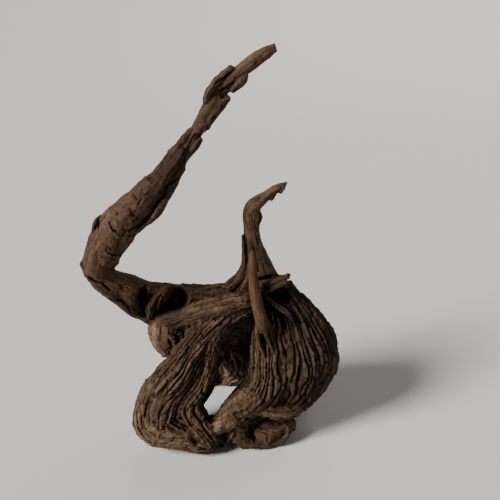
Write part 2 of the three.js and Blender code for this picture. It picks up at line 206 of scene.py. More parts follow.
     [0, 0.3, 149.6, 2.5, 2.3], [5, 0, 152.9, 2.2, 2.1], [8.8, 0, 155, 1.5, 1.5]),
    ("sleeve", 0.4, 0.2, [-6.5, 0.4, 148.4, 1.3, 2.2], [-9.8, 0.4, 145.6, 1.5, 2.4],
     [-13.1, 0, 142.3, 1.7, 2.6], [-15.4, 0, 139.1, 1.6, 2.6], [-16.2, 0, 136.3, 1.3, 2.2]),
    ("sleeve", 0.4, 0.15, [-1.6, 0.5, 146, 1.2, 2], [-3.3, 0.5, 143.7, 1.9, 2.4], [-5.9, 1, 141.4, 1.7, 2.4],
     [-7, 1, 140.2, 1.4, 2]),
    ("sleeve", 0.5, 0.15, [-7.8, 0.8, 137.7, 1.2, 1.8], [-10.6, 0.4, 135.5, 1.8, 2.4],
     [-13.2, 0, 132.4, 1.7, 2.4], [-15, -0.3, 129.4, 1.2, 1.8], [-15.6, -0.5, 126.3, 0.4, 0.7]),
    ("sleeve", 0.4, 0.2, [-16.2, -0.6, 128.4, 1, 1.6], [-17, -1, 125.7, 0.4, 0.7]),
    ("sleeve", 0.4, 0.15, [-22, -0.6, 126.4, 1, 2], [-24.3, -1.2, 123.7, 1.3, 2.6],
     [-26.4, -2.2, 120.9, 1.6, 3], [-29.1, -3.6, 117.4, 2, 3.4]),
    ("sleeve", 0.4, 0.15, [-18.8, -0.6, 122.8, 1.1, 2], [-21, -1.2, 120.3, 1.7, 2.6],
     [-23, -1.8, 117.7, 1.4, 2.8], [-25, -2.8, 115.3, 1.3, 2.6]),
    ("sleeve", 0.4, 0.15, [-28.9, -2.5, 119, 1, 2], [-30.5, -3.5, 116.8, 1.3, 2.6],
     [-32.5, -4.5, 113.9, 1.5, 3], [-34.9, -5.5, 110.9, 1.6, 3]),
    ("bark", 0.9, 0.3, [-25.2, -4, 112.6, 1.1, 1.4], [-27.6, -5, 108.8, 1.3, 2.4],
     [-30, -6.2, 104.6, 1.8, 3.2], [-32.5, -7.4, 100.7, 2, 3.8], [-34.6, -8.4, 97.2, 2.1, 4],
     [-36.8, -9.2, 94.4, 1.6, 3.2], [-39.4, -10, 92.2, 1.1, 2.6], [-42.2, -10.6, 90, 0.7, 1.8],
     [-44.6, -11, 88.4, 0.4, 1]),
    ("sleeve", 0.4, 0.3, [-56.4, -8.5, 94.8, 0.9, 2], [-58, -9.5, 93.1, 1.1, 2.4], [-58.8, -10.5, 91, 1.1, 2],
     [-59.2, -11, 89.2, 0.7, 1]),
    ("twig", 0.5, 0.2, [-62.6, -11.5, 70.7, 1, 1.6], [-60.1, -11.3, 68.8, 1.4, 2.2],
     [-57.3, -10.8, 66.1, 1.8, 2.8], [-54.3, -9.8, 63.1, 2.4, 3.4], [-50.9, -8.3, 59.9, 2.5, 3.6],
     [-47.8, -7, 55.9, 2.3, 3.6], [-45, -6, 53, 1.9, 3], [-41.5, -5, 51, 1.5, 3]),
    # horn, its flakes and the splinter beside it
    "horn",
    ("horn", 1.5, 0.4, [5.5, 8, 58, 8, 7], [5.5, 8, 62.3, 6.8, 6], [4.7, 7.5, 67, 5.7, 5.2],
     [3.4, 7, 71.7, 4.8, 4.6], [2.1, 6.5, 76.3, 4, 4.2], [1, 6, 80.8, 3.4, 3.8], [0.6, 5.5, 86.1, 3.2, 3.4],
     [0.5, 5, 90.9, 3.5, 3.2], [1, 4.2, 94.9, 3.2, 3], [3.3, 3.5, 97.7, 2.7, 2.6],
     [6.9, 2.5, 100.6, 2.1, 2.1], [10.6, 1.5, 103.5, 1.7, 1.7], [13.8, 1, 105.6, 0.6, 0.8]),
    ("horn", 1.5, 0.4, [-2.5, 6, 61, 4.5, 5], [-0.6, 6, 66, 3.4, 4.4], [0.2, 6, 72, 2.6, 4],
     [0.6, 6, 79, 2, 3]),
    ("sleeve", 0.6, 0.3, [2.9, 4, 93.2, 1.3, 1.8], [3.3, 4, 91.2, 1.6, 2.2], [2.9, 4, 89, 1.2, 1.6]),
    ("sleeve", 0.25, 0.15, [13.4, 0.6, 104.5, 0.6, 0.8], [12.5, 0.8, 103, 0.9, 1], [11.6, 1, 101.7, 0.8, 1]),
    ("sleeve", 0.25, 0.15, [10, 1.4, 101.5, 0.7, 0.9], [9.1, 1.6, 99.9, 1, 1.2], [8.2, 1.8, 98.5, 0.8, 1.1]),
    ("sleeve", 0.25, 0.15, [3.4, 3.2, 99.2, 0.9, 1.4], [1.6, 3.8, 97.4, 1.1, 1.6],
     [-0.4, 4.4, 94.6, 0.9, 1.4]),
    ("sleeve", 0.5, 0.2, [-2.6, 4, 83.4, 0.7, 1.4], [-2.5, 4, 78.9, 0.9, 1.8], [-2.2, 4.5, 73.5, 1.2, 2.2],
     [-2.5, 5, 68.9, 1.8, 3], [-4.2, 5, 64.6, 2.4, 3.6], [-8.6, 5, 60.4, 2.4, 3.6]),
    # the hollows in the crown and what lies across them, in front and behind
    "hollow",
    (2.5, [-38, -9, 59], [7.5, 4.5, 5.5]),
    "cut",
    (0.8, [-27, -6, 58.4, 2.2, 6], [-30.3, -6.5, 56.8, 3, 8], [-34.4, -7.5, 55, 2.2, 7],
     [-38, -8.5, 53.6, 1, 4]),
    "hollow",
    (1.3, [-29.6, -4, 58], [3.9, 7.5, 4.5]),
    "cut",
    (1.4, [-42.8, -7, 63.6, 1.4, 4], [-43.5, -7.5, 60.3, 1.8, 5], [-42.7, -8, 56.6, 1.6, 5],
     [-41.1, -8, 53.4, 0.9, 3]),
    "crown",
    ("swirl", 1.0, 0.5, [-40.6, -6.4, 53, 1.4, 2.4], [-40.2, -6.2, 56.3, 2.2, 3], [-38.8, -5, 59.2, 1.6, 2.8],
     [-36.9, -3.8, 61.5, 1.1, 2.2], [-34.4, -2.4, 63, 0.8, 1.8], [-31.8, -1.4, 63.6, 0.5, 1.4]),
    ("swirl", 0.6, 0.4, [-37.6, -6.4, 55, 0.7, 1.8], [-36.4, -5.4, 58.8, 0.9, 2.2], [-35.2, -4.4, 61, 0.8, 2],
     [-33.8, -3.2, 62.3, 0.7, 1.6], [-32, -2, 63.2, 0.5, 1.2]),
    ("crown", 1.5, 0.4, [-41.9, -5, 50.5, 2.1, 3], [-36.5, -5.2, 50, 3.3, 3.6], [-30.7, -5.6, 50.2, 4, 3.9],
     [-25.5, -6, 51.8, 4.2, 4]),
    ("band", 1.5, 0.4, [-25.4, -6.1, 51.8, 3.8, 3.8], [-22.6, -6.4, 52.8, 4.7, 4.2],
     [-19, -6.8, 54.4, 4.9, 4.2], [-12.9, -7.4, 56.9, 4.4, 4.2], [-7.2, -8, 58.9, 3.8, 3.8],
     [-2, -8.2, 59.8, 3.3, 3.5], [2.4, -8.4, 60.3, 2.9, 3.2]),
    ("leg", 1.2, 0.3, [3.6, 12, 62, 2.2, 3], [-0.6, 15.6, 56, 3, 3.2], [-5.6, 17.2, 50, 3.4, 3.4],
     [-11, 17.4, 44, 3.2, 3.2]),
    "rear_leg",
    ("leg", 1.2, 0.3, [-8.6, 17.4, 46.6, 3.2, 3.2], [-12.6, 17.8, 41, 3.2, 3.4], [-16.6, 19.6, 33, 2.8, 3],
     [-19.4, 21.6, 25, 2.2, 2.6], [-21.6, 24.6, 16, 1.4, 2]),
    "crown",
    ("under", 1.2, 0.3, [-41, 6, 58, 1.8, 2.4], [-31, 11.4, 54.4, 2.6, 2.8], [-20, 14.8, 51, 3.2, 3.2],
     [-8.6, 17.2, 45.6, 3.4, 3.4], [2, 17, 40.6, 2.8, 3], [9.6, 14.6, 37, 1.8, 2.2]),
    "hollow",
    (1.0, [1.6, 18.4, 50.6], [2.6, 2.6, 3.6]),
    "cut",
    (0.3, [-35, 11, 50, 0.4, 1.4], [-28, 13.6, 47.6, 0.5, 1.8], [-20, 15.4, 43.6, 0.4, 1.6]),
    (0.2, [-57, -2, 80, 0.2, 0.9], [-52.4, -1.6, 86, 0.28, 1.2], [-47.4, -1.6, 91.6, 0.28, 1.2],
     [-42, -1.8, 97, 0.2, 0.9]),
    (0.2, [-51, -1.8, 81, 0.2, 0.9], [-48.6, -1.6, 84.6, 0.28, 1.1], [-50.6, -1.4, 88.6, 0.2, 0.9]),
    (0.8, [7.6, -6, 57.5, 1.6, 4], [9.6, -7, 54.2, 2.4, 5], [12.2, -9, 52.4, 1.8, 4]),
    (1.2, [8.7, -3, 60, 1.2, 3], [12.1, -4, 60, 2, 3.4], [15.3, -5, 58.8, 1.6, 3]),
    (0.3, [3.7, 2.6, 64.7, 0.7, 2], [6.7, 2.8, 65.4, 1, 2.4], [10.4, 2.3, 65.3, 0.6, 1.4]),
    # front root, the strands that spread from its foot, and the broken twig
    "front_root",
    ("rod", 0.5, 0.4, [0.8, -0.5, 78.2, 0.8, 1.2], [1.1, -3, 76.2, 1.4, 1.6], [1.1, -6.5, 73.2, 1.7, 1.9],
     [1.3, -10, 69.5, 2, 2.1], [1.9, -12.5, 65.5, 2.1, 2.2], [2.8, -14.5, 61.3, 2.3, 2.3],
     [3.8, -15.4, 57.5, 2.4, 2.4], [4.6, -15.6, 54, 2.4, 2.3], [5, -15, 50.6, 2, 2]),
    "right_lobe",
    ("rod", 0.6, 0.5, [3, -15.6, 53.4, 1, 1.2], [2.9, -15.4, 48.6, 1, 1.4], [4, -15.4, 44, 1, 1.6],
     [5.6, -16, 39.6, 0.8, 1.4]),
    ("twig", 0.6, 0.5, [4.8, -16.2, 54, 1, 1.2], [6.1, -16, 49.6, 1, 1.4], [7.7, -15.8, 45.4, 1, 1.6],
     [9.4, -16, 41.6, 0.7, 1.4]),
    ("twig", 0.6, 0.5, [6.4, -14.8, 54.4, 0.9, 1.2], [7.9, -14.4, 50, 1, 1.4], [9, -15, 46, 0.8, 1.4]),
    ("twig", 0.6, 0.5, [11, -12.6, 54, 0.6, 1], [11.8, -13, 51, 0.8, 1.2], [11.4, -13.6, 47.6, 0.7, 1.2]),
    "broken_twig",
    ("twig", 0.2, 0.12, [2.4, -5, 63.4, 1.1, 1.4], [7.2, -6, 66, 1.15, 1.4], [11.9, -6.5, 68.4, 1.2, 1.4],
     [15.3, -7, 70.2, 1.1, 1.3]),
    ("twig", 0.2, 0.12, [2.8, -7, 61.6, 0.95, 1.3], [7.4, -7.6, 64.2, 1, 1.3], [11.8, -8, 66.7, 1, 1.3],
     [14.6, -8.2, 68.2, 0.9, 1.2]),
    ("twig", 0.4, 0.3, [4.4, -8, 63, 0.8, 1.4], [7.6, -9.4, 60.6, 0.9, 1.6], [11.2, -10.6, 58.2, 0.9, 1.8],
     [14.8, -11.4, 56, 0.8, 1.8], [17, -12.2, 53.4, 0.6, 1.4]),
    # furrows and cracks
    "cut",
    (0.2, [-27, -7.4, 109.6, 0.28, 1.4], [-29.3, -9, 108, 0.32, 1.8], [-30.8, -10, 106.6, 0.32, 1.8],
     [-32.4, -10.4, 103.2, 0.32, 1.8], [-34.4, -11.2, 101, 0.32, 1.8], [-36, -12.2, 98, 0.32, 1.8],
     [-37, -12.8, 95.6, 0.3, 1.6], [-39.2, -12.8, 93.9, 0.3, 1.4], [-42.3, -12.4, 92, 0.26, 1.2],
     [-45.2, -13.1, 90.7, 0.24, 1], [-48, -13.7, 89.1, 0.16, 0.7]),
    (0.15, [-52.4, -13.4, 94.4, 0.18, 0.8], [-51.1, -13.8, 92.1, 0.22, 1], [-49.6, -14.3, 89.8, 0.24, 1],
     [-48.4, -14, 88.7, 0.22, 0.9], [-45.6, -12.8, 88.7, 0.18, 0.9], [-43.6, -11.6, 87.4, 0.18, 1]),
    (0.15, [-44.1, -13.8, 99.9, 0.14, 0.6], [-43.6, -13.4, 97.7, 0.24, 1], [-42.5, -13, 96.2, 0.3, 1.2],
     [-41, -12.4, 95, 0.2, 0.9]),
    (0.15, [-42.8, -12, 104.1, 0.18, 0.8], [-41.2, -12.4, 102.8, 0.22, 0.9]),
    (0.15, [-39.6, -13.3, 102.7, 0.22, 0.9], [-41.1, -13, 101, 0.2, 0.8]),
    (0.15, [-49.5, -13, 98.5, 0.2, 0.8], [-49, -13.2, 97.2, 0.2, 0.8]),
    (0.15, [-36.7, -12.9, 104.3, 0.2, 0.8], [-35.9, -12.7, 103.1, 0.2, 0.8]),
    (0.15, [-50.1, -14.2, 86.6, 0.2, 0.8], [-49.4, -13.5, 84.4, 0.2, 0.9]),
    (0.15, [-53.7, -14.5, 83.9, 0.2, 0.8], [-53.1, -14.1, 81.8, 0.24, 1], [-51.4, -13.2, 80.7, 0.24, 1],
     [-49.6, -12, 80.9, 0.24, 1.1], [-48.6, -11.4, 81.7, 0.18, 0.9]),
    (0.2, [-56.9, -9.5, 94.9, 0.28, 2], [-57, -11, 93.4, 0.35, 2], [-56.4, -12.5, 91.4, 0.28, 1.4]),
    (0.3, [-62.1, -13, 71.6, 0.35, 2], [-59.6, -13.4, 70.6, 0.49, 2.4], [-56.5, -13, 68.6, 0.49, 2.4],
     [-54.7, -12.4, 66.1, 0.32, 1.6]),
    (0.2, [-55.2, -12.6, 62.8, 0.24, 1], [-52.6, -12, 62.1, 0.28, 1.2], [-49.4, -11, 60.2, 0.28, 1.4],
     [-48.1, -10, 56.7, 0.28, 1.4], [-46.5, -9, 53.6, 0.28, 1.4]),
    (0.2, [-6.5, -1.4, 147.1, 0.28, 1], [-9.5, -1.6, 144.9, 0.32, 1.2], [-12.8, -1.8, 142.4, 0.28, 1]),
    (0.2, [-5.4, -1.2, 144.8, 0.28, 1], [-6.7, -1.2, 143.4, 0.32, 1.2], [-9, -1.2, 141.2, 0.42, 1.3],
     [-11.6, -1.6, 140, 0.35, 1.2]),
    (0.2, [-2.2, 2.4, 82.1, 0.24, 1.6], [-1.9, 2.4, 76.9, 0.28, 1.6], [-1.2, 2.4, 72.4, 0.28, 1.6]),
    (0.2, [1.5, 1.8, 78.5, 0.24, 1.4], [2.2, 2.2, 75.4, 0.28, 1.6], [2.9, 2.4, 72.3, 0.24, 1.4],
     [3.6, 2.6, 67.9, 0.28, 1.4]),
    (0.3, [0, -8, 62.9, 0.5, 2], [-4.8, -7, 62, 0.5, 2], [-10.1, -6.6, 60.9, 0.5, 1.8],
     [-15.8, -6, 59.2, 0.4, 1.6], [-18.7, -5.4, 57, 0.3, 1.2]),
    (0.4, [-18.9, 0, 61, 0.5, 2], [-18.9, -3, 58, 0.5, 1.6]),
    (0.4, [-14.9, 0, 61, 0.4, 2], [-16.4, -3, 58.6, 0.4, 1.6]),
    (0.4, [-9.3, 1, 62.6, 0.5, 2.4], [-10.8, -3, 60.4, 0.5, 1.8]),
    (0.4, [-6.7, 1, 62.6, 0.5, 2.4], [-8.2, -3, 60.8, 0.5, 1.8]),
    (0.4, [-40.7, -25.6, 26.4, 0.6, 1.8], [-39, -26.6, 24.9, 0.8, 2], [-35.8, -27.4, 23, 0.6, 1.6],
     [-30.7, -27.4, 23.9, 0.5, 1.4]),
    (0.4, [-24.8, -29.6, 12.4, 0.7, 1.4], [-22.7, -29.6, 10, 1.1, 1.8], [-20.9, -29.4, 7.2, 0.7, 1.4]),
    "hollow",
    (0.2, [-1.2, -24, 15.6], [0.9, 2.2, 0.9]),
    "cut",
    (0.4, [6.4, -21, 12.8, 0.5, 1.6], [3.2, -22, 11.9, 0.9, 2.6], [1.1, -23, 10, 1.1, 3],
     [0.6, -23, 7.4, 1, 2.8], [2, -23.4, 4.9, 0.7, 1.8]),
    (0.4, [-32.6, -11, 48, 0.3, 1.4], [-29.6, -11, 47, 0.5, 2.6], [-26.8, -9.5, 45.4, 0.7, 3],
     [-27, -9, 42.5, 0.6, 3]),
]

# Number tables for repeatable noise. Their sizes are powers of two, so that they repeat.
table_maker = np.random.default_rng(SEED)
LATTICE_SIDE = 32
CHANCE_COUNT = 4096
LATTICE = table_maker.random(LATTICE_SIDE ** 3, dtype=np.float32) * 2 - 1
CHANCES = table_maker.random(CHANCE_COUNT, dtype=np.float32)

# Places in the row of details that every point of the skin has: where it is in the grain, how dark its
# furrow is painted (partly dirt, partly painted shade), the tone of its plate, how high it stands (which sets
# the painted crest highlight), and the tints, among them painted fill light and painted shade
GRAIN, FURROW, TONE, HIGH, FIRST_TINT = slice(0, 3), 3, 4, 5, 6


def chance(i, j=0):
    """A repeatable number from 0 to 1 for each pair of whole numbers."""
    return CHANCES[(i * 374761 + j * 66821 + 977) & (CHANCE_COUNT - 1)]


def ease(t):
    return t * t * (3 - 2 * t)


def noise(x, y, z):
    """Smooth noise from -1 to 1 over space, which repeats after the lattice's side."""
    last = LATTICE_SIDE - 1
    layer = LATTICE_SIDE ** 2
    fx, fy, fz = np.floor(x), np.floor(y), np.floor(z)
    tx, ty, tz = ease(x - fx), ease(y - fy), ease(z - fz)
    ix, iy, iz = fx.astype(np.int32), fy.astype(np.int32), fz.astype(np.int32)
    x0, x1 = (ix & last) * layer, ((ix + 1) & last) * layer
    y0, y1 = (iy & last) * LATTICE_SIDE, ((iy + 1) & last) * LATTICE_SIDE
    z0, z1 = iz & last, (iz + 1) & last

    def along_x(y_part, z_part):
        low = LATTICE[x0 + y_part + z_part]
        return low + (LATTICE[x1 + y_part + z_part] - low) * tx

    near = along_x(y0, z0)
    near += (along_x(y1, z0) - near) * ty
    far = along_x(y0, z1)
    far += (along_x(y1, z1) - far) * ty
    return near + (far - near) * tz


def line_noise(row, t):
    """A jagged line from 0 to 1 along t, another one for every whole number row."""
    k = np.floor(t)
    low = chance(row, k.astype(np.int32))
    return low + (chance(row, k.astype(np.int32) + 1) - low) * (t - k)


def soft_min(a, b, k):
    h = np.clip(0.5 + 0.5 * (b - a) / k, 0, 1)
    return b + (a - b) * h - k * h * (1 - h)


def soft_max(a, b, k):
    return -soft_min(-a, -b, k)


def unit(v):
    return v / np.linalg.norm(v, axis=-1, keepdims=True)


def dot(a, b):
    return np.einsum("ij,ij->i", a, b)


def smooth_path(rows):
    """The rows of a path with more rows between them, on a smooth curve."""
    rows = np.array(rows, float)
    rows = np.vstack([2 * rows[0] - rows[1], rows, 2 * rows[-1] - rows[-2]])
    out = []
    for a, b, c, d in zip(rows, rows[1:], rows[2:], rows[3:]):
        count = max(2, int(np.linalg.norm((c - b)[:3]) / SPINE_STEP))
        for t in np.arange(count) / count:
            out.append(0.5 * (2 * b + (c - a) * t + (2 * a - 5 * b + 4 * c - d) * t ** 2
                              + (3 * b - a - 3 * c + d) * t ** 3))
    out.append(rows[-2])
    return np.array(out, np.float32)


class Limb:
    """A tube of wood along a path, with strands that follow it."""

    def __init__(self, order, node, look_name, softness, bluntness, *path):
        rows = smooth_path(path)
        self.order, self.node, self.softness, self.bluntness = order, node, softness, bluntness
        self.look = LOOKS[look_name]
        self.spine, self.girth = rows[:, :3], rows[:, 3:]
        self.step = np.diff(self.spine, axis=0)
        self.step_square = dot(self.step, self.step)
        self.along = unit(np.gradient(self.spine, axis=0))
        view = np.array([0, 1, 0], np.float32)
        self.deep = unit(view - self.along * self.along[:, 1:2])
        self.across = np.cross(self.deep, self.along)
        self.length = np.concatenate([[0], np.cumsum(np.sqrt(self.step_square))]).astype(np.float32)
        reach = self.girth.max() + MARGIN + SPARE
        self.low, self.high = self.spine.min(0) - reach, self.spine.max(0) + reach
        self.thickest = float(self.girth.mean(1).max())

    def beside(self, p):
        """For each point: distance to the plain limb, length along it, side offsets, turn round it, girth."""
        spine = self.spine
        near = np.argmin(dot(spine, spine)[None, :] - 2 * (p @ spine.T), axis=1)
        best = np.full(len(p), 1e9, np.float32)
        index = np.zeros(len(p), np.int32)
        share = np.zeros(len(p), np.float32)
        for shift in (-1, 0):
            i = np.clip(near + shift, 0, len(self.step) - 1)
            s = np.clip(dot(p - spine[i], self.step[i]) / self.step_square[i], 0, 1)
            off = p - spine[i] - self.step[i] * s[:, None]
            distance = dot(off, off)
            closer = distance < best
            best = np.where(closer, distance, best)
            index = np.where(closer, i, index)
            share = np.where(closer, s, share)
        s = share[:, None]
        off = p - spine[index] - self.step[index] * s

        def between(values):
            return values[index] + (values[index + 1] - values[index]) * s

        x = dot(off, between(self.across))
        y = dot(off, between(self.deep))
        past = dot(off, between(self.along))
        wide, thick = between(self.girth).T
        side = np.hypot(x, y) + 1e-6
        reach = side / np.hypot(x / wide, y / thick)
        at_start = (index == 0) & (share == 0)
        at_end = (index == len(self.step) - 1) & (share == 1)
        distance = np.sqrt(side ** 2 + past ** 2) - reach
        end = np.nonzero(at_start | at_end)[0]
        ragged = noise(*(p[end] / 0.9).T) + noise(*(p[end] / 2.3).T)
        end_gap = np.abs(past[end]) - self.bluntness * reach[end] + 0.35 * ragged
        distance[end] = soft_max(side[end] - reach[end], end_gap, 0.35 * reach[end])
        length = self.length[index] + (self.length[index + 1] - self.length[index]) * share
        turn = np.arctan2(y / thick, x / wide)
        return distance, length + past * (at_start | at_end), x, y, turn, reach

    def relief(self, p, length, x, y, turn, reach):
        """How far the wood stands out from the plain limb, how dark its furrows are painted (partly dirt,
        partly painted shade), its plate's tone.
        """
        look = self.look
        count = look["strands"]
        first_row = 50 * self.order
        shift = 7.3 * self.order
        warp = noise(x / 7 + shift, y / 7, length / 20) + 0.6 * noise(x / 4, y / 4 + shift, length / 9)
        warp += 0.3 * noise(x / 1.5, y / 1.5 + shift, length / 3)
        lane = turn * count / (2 * math.pi) + look["wander"] * warp
        pitch = 2 * math.pi * reach / count
        width = np.minimum(look["width"], 0.4 * pitch)
        # furrows, each of which strays, opens and shuts by itself
        middle = np.rint(lane)
        edges = []
        furrow = np.zeros(len(p), np.float32)
        for k in (-1, 0, 1):
            row = np.mod(middle + k, count).astype(np.int32) + first_row
            edge = middle + k + 0.75 * line_noise(row, length / FURROW_RUN) - 0.375
            open_share = 0.1 + 0.9 * np.clip(1.7 * line_noise(row + 1700, length / FURROW_RUN) - 0.1, 0, 1)
            gap = np.clip(1 - np.abs(lane - edge) * pitch / width, 0, 1)
            furrow = np.maximum(furrow, open_share * gap ** 1.2)
            edges.append(edge)
        # the strand between two furrows, and its rounded back
        after = lane > edges[1]
        left = np.where(after, edges[1], edges[0])
        right = np.where(after, edges[2], edges[1])
        strand = middle - 1 + after
        dome = 1 - np.abs(2 * (lane - left) / (right - left) - 1) ** 3
        dome = (dome - 0.6) * np.minimum((right - left) * pitch, WIDEST_STRAND)
        # finer furrows on the strands
        fine_lane = lane * FINE_SHARE + 0.8 * noise(x / 1.3, y / 1.3, length / 3 + shift)
        fine_edge = np.rint(fine_lane)
        fine_row = np.mod(fine_edge, 89).astype(np.int32) + 300
        fine_gap = np.abs(fine_lane - fine_edge) * pitch / FINE_SHARE
        fine = line_noise(fine_row, length / 3) * np.exp(-(fine_gap / FINE_HALF) ** 2)
        # plates that stand higher or lower, lean to a side and end in cracks
        ridge = np.mod(strand, count).astype(np.int32) + first_row
        cut = length / look["plate"] + 9 * chance(ridge, 3) + 0.12 * noise(x / 1.1, y / 1.1, length / 1.1)
        cut += 0.3 * (chance(ridge, 5) - 0.5) * (lane - strand)
        plate = np.floor(cut)
        to_crack = np.minimum(cut - plate, 1 - (cut - plate)) * look["plate"]
        tone = chance(ridge, plate.astype(np.int32) & 255)
        crack = np.exp(-(to_crack / CRACK_HALF) ** 2) * (tone > 0.35)
        chip = line_noise(ridge + 900, length / 1.3) - 0.5
        lean = (chance(ridge, 7) * 2 - 1) * (lane - strand - 0.5) * np.minimum(pitch, WIDEST_STRAND)
        short = self.short_cracks(turn, length) if look["short"] else 0
        # lumps and grit, which don't follow the grain
        px, py, pz = p.T
        lumps = noise(px / 9, py / 9, pz / 9) + 0.45 * noise(px / 4, py / 4, pz / 4)
        grit = noise(px / 0.9, py / 0.9, pz / 0.9) + 0.8 * noise(px / 1.9, py / 1.9, pz / 1.9)
        out = (look["lumps"] * lumps * 0.6 + look["uneven"] * (tone * 2 - 1 + chip) + look["rough"] * grit
               + look["dome"] * dome
               + look["tilt"] * lean - look["depth"] * furrow - 0.3 * look["depth"] * fine
               - look["crack"] * crack - 0.4 * short + 0.12 * look["depth"])
        # Darkness painted into furrows, fine furrows and cracks, and below into pits and ticks: partly dirt,
        # partly painted shade.
        dark = furrow + 0.5 * fine + 0.7 * crack * (look["crack"] > 0) - 0.12 * grit
        if look["pits"]:
            pit = np.clip(noise(px / 1.4, py / 1.4, pz / 1.7 + shift) * 2.2 - 0.8, 0, 1)
            out -= look["pits"] * pit
            dark = dark + 0.8 * pit
        if look["ticks"]:
            tick = noise(x / 1.3, y / 1.3 + shift, length / 0.55)
            out += look["ticks"] * tick
            dark = dark + np.clip(-0.9 * tick, 0, 1)
        dark = look["dark"] * dark + 0.6 * short
        return out, np.clip(dark, 0, 1.3), tone

    def short_cracks(self, turn, length):
        """Short cracks across the limb, each in a cell of its own."""
        cell_width, cell_length = SHORT_CELL
        round_count = max(3, round(2 * math.pi * self.thickest / cell_width))
        across = turn * round_count / (2 * math.pi)
        along = length / cell_length
        jag = 0.35 * np.sin(across * 23) * np.sin(across * 11 + 1)
        deepest = np.zeros(len(turn), np.float32)
        for i, j in np.ndindex(3, 3):
            column, line = np.floor(across) + (i - 1), np.floor(along) + (j - 1)
            cell = np.mod(column, round_count).astype(np.int32) + 40 * self.order
            number = line.astype(np.int32)
            here = chance(cell, number) < self.look["short"]
            off_across = across - column - 0.2 - 0.6 * chance(cell, number + 91)
            off_along = along - line - 0.2 - 0.6 * chance(cell, number + 173)
            slope = 0.9 * (chance(cell, number + 37) - 0.5)
            gap = np.abs((off_along - slope * off_across) * cell_length + jag)
            half = 0.25 + 0.35 * chance(cell, number + 11)
            depth = np.clip(1 - gap / 0.45, 0, 1) * np.clip(2.5 * (1 - np.abs(off_across) / half), 0, 1)
            deepest = np.maximum(deepest, depth * here)
        return deepest


class Cut(Limb):
    """A gouge along a path, with a ragged edge."""

    def __init__(self, order, softness, *path):
        super().__init__(order, "", "band", softness, 0.4, *path)
        self.low, self.high = self.low - 2, self.high + 2

    def distance(self, p):
        stray = [noise(*(p / 1.6 + 5 * axis).T) for axis in range(3)]
        return self.beside(p + 0.45 * np.stack(stray, 1))[0]


class Hollow:
    """A rounded hole that goes nowhere."""

    node = ""

    def __init__(self, softness, centre, half):
        self.softness = softness
        self.thickest = min(half)
        self.centre, self.half = np.array(centre, np.float32), np.array(half, np.float32)
        self.low, self.high = self.centre - self.half - FAR, self.centre + self.half + FAR

    def distance(self, p):
        q = (p - self.centre) / self.half
        size = np.sqrt(dot(q, q)) + 1e-6
        slope = np.sqrt(dot(q / self.half, q / self.half)) + 1e-6
        return size * (size - 1) / slope


def build_wood():
    """All limbs, cuts and hollows. The strands depend on a limb's place in the order."""
    out = []
    for entry in WOOD:
        if isinstance(entry, str):
            kind = entry
        elif kind == "hollow":
            out.append(Hollow(*entry))
        elif kind == "cut":
            out.append(Cut(len(out), *entry))
        else:
            out.append(Limb(len(out), kind, *entry))
    return out


wood = build_wood()
limbs = [item for item in wood if item.node]
NODES = list(dict.fromkeys(limb.node for limb in limbs))


def skin_of(p, relief=True, details=False):
    """For points p: distance to the wood's skin, the node each belongs to, and on demand its details."""
    distance = np.full(len(p), FAR, np.float32)
    best = np.full(len(p), 2 * FAR, np.float32)
    node = np.zeros(len(p), np.int8)
    extra = np.zeros((len(p), FIRST_TINT + len(TINTS_AND_PAINTED_LIGHT)), np.float32) if details else None
    for item in wood:
        pick = np.nonzero(((p > item.low) & (p < item.high)).all(1))[0]
        if not len(pick):
            continue
        q = p[pick]
        if not item.node:
            gone = item.distance(q)
            if details:
                # Painted shade inside cuts and hollows, darker where the gouge is deep and narrow.
                painted_cut_shade = np.clip((-distance[pick] - 0.25) / (0.4 + 0.4 * item.thickest), 0, 0.95)
                extra[pick, FURROW] = np.maximum(extra[pick, FURROW], painted_cut_shade * (gone < 0.15))
            distance[pick] = soft_max(distance[pick], -gone, item.softness)
            continue
        plain, *place = item.beside(q)
        local = plain.copy()
        close = np.nonzero(np.abs(plain) < MARGIN)[0]
        if relief and len(close):
            out, furrow, tone = item.relief(q[close], *[value[close] for value in place])
            local[close] -= out
        if details:
            cover = np.clip(0.5 + (distance[pick] - local) / 2, 0, 1)[:, None]
            # The limb's tints, among them painted fill light and painted shade, spread over the skin it
            # covers.
            tint_and_painted_light = np.array([item.look[name] for name in TINTS_AND_PAINTED_LIGHT], np.float32)
            extra[pick, FIRST_TINT:] += (tint_and_painted_light - extra[pick, FIRST_TINT:]) * cover
        if details and len(close):
            mine = local[close] < best[pick[close]]
            at = close[mine]
            grain = (place[1][at], place[2][at], place[0][at] + 31 * item.order)
            extra[pick[at], :FIRST_TINT] = np.stack([*grain, furrow[mine], tone[mine], out[mine]], 1)
        distance[pick] = soft_min(distance[pick], local, item.softness)
        rank = local if details else plain
        owner = rank < best[pick]
        best[pick[owner]] = rank[owner]
        node[pick[owner]] = NODES.index(item.node) + 1
    return distance, node, extra


def in_chunks(task, points):
    """Runs a task on slices of the points, on several threads, and joins the arrays that it returns."""
    parts = [points[i:i + CHUNK] for i in range(0, len(points), CHUNK)]
    with ThreadPoolExecutor(THREADS) as pool:
        return np.concatenate(list(pool.map(task, parts)))


def grid_points(low, step, index):
    return (low + step * index).astype(np.float32)


def corners(grid):
    """What a grid says at each of the eight corners of its cells."""
    return [grid[tuple(slice(c, n - 1 + c) for c, n in zip(corner, grid.shape))]
            for corner in np.ndindex(2, 2, 2)]


